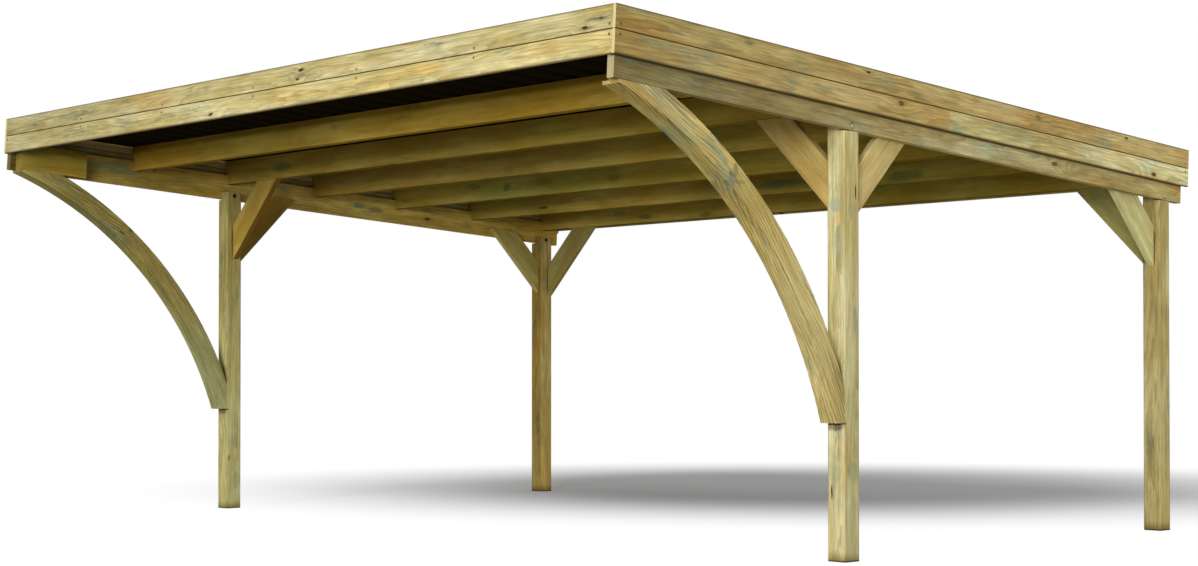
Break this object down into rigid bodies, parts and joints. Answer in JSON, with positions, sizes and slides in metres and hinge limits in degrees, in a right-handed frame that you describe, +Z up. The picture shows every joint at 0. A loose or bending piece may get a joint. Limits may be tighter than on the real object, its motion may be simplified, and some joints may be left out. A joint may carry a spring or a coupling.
{
  "type": "double timber carport",
  "caption": "Open timber double carport with a low sloping roof, arched front braces, knee braces and a fascia two boards high.",
  "frame": {"origin": "on the ground under the middle of the roof", "axes": "+Z up, +X to the right seen from the front, +Y to the rear, where the roof is lowest"},
  "size_m": [6.02, 5.133, 2.7361],
  "materials": {
    "treated_timber": "matte",
    "fascia_board": "matte",
    "roof_sheet": "satin"
  },
  "bodies": {
    "root": {"front_left_post": "treated_timber", "front_right_post": "treated_timber", "rear_left_post": "treated_timber", "rear_right_post": "treated_timber", "left_beam": "treated_timber", "left_packing_block": "treated_timber", "left_arch_brace": "treated_timber", "right_beam": "treated_timber", "right_packing_block": "treated_timber", "right_arch_brace": "treated_timber", "rafter_1": "treated_timber", "rafter_2": "treated_timber", "rafter_3": "treated_timber", "rafter_4": "treated_timber", "rafter_5": "treated_timber", "rafter_6": "treated_timber", "front_rail": "treated_timber", "rear_rail": "treated_timber", "front_left_cross_brace": "treated_timber", "front_left_side_brace": "treated_timber", "front_right_cross_brace": "treated_timber", "front_right_side_brace": "treated_timber", "rear_left_cross_brace": "treated_timber", "rear_left_side_brace": "treated_timber", "rear_right_cross_brace": "treated_timber", "rear_right_side_brace": "treated_timber", "front_lower_fascia": "fascia_board", "front_upper_fascia": "fascia_board", "rear_lower_fascia": "fascia_board", "rear_upper_fascia": "fascia_board", "left_lower_front_fascia": "fascia_board", "left_lower_rear_fascia": "fascia_board", "left_upper_fascia": "fascia_board", "right_lower_front_fascia": "fascia_board", "right_lower_rear_fascia": "fascia_board", "right_upper_fascia": "fascia_board", "roof_sheet_1": "roof_sheet", "roof_sheet_2": "roof_sheet", "roof_sheet_3": "roof_sheet", "roof_sheet_4": "roof_sheet", "roof_sheet_5": "roof_sheet", "roof_sheet_6": "roof_sheet"}
  },
  "joints": []
}
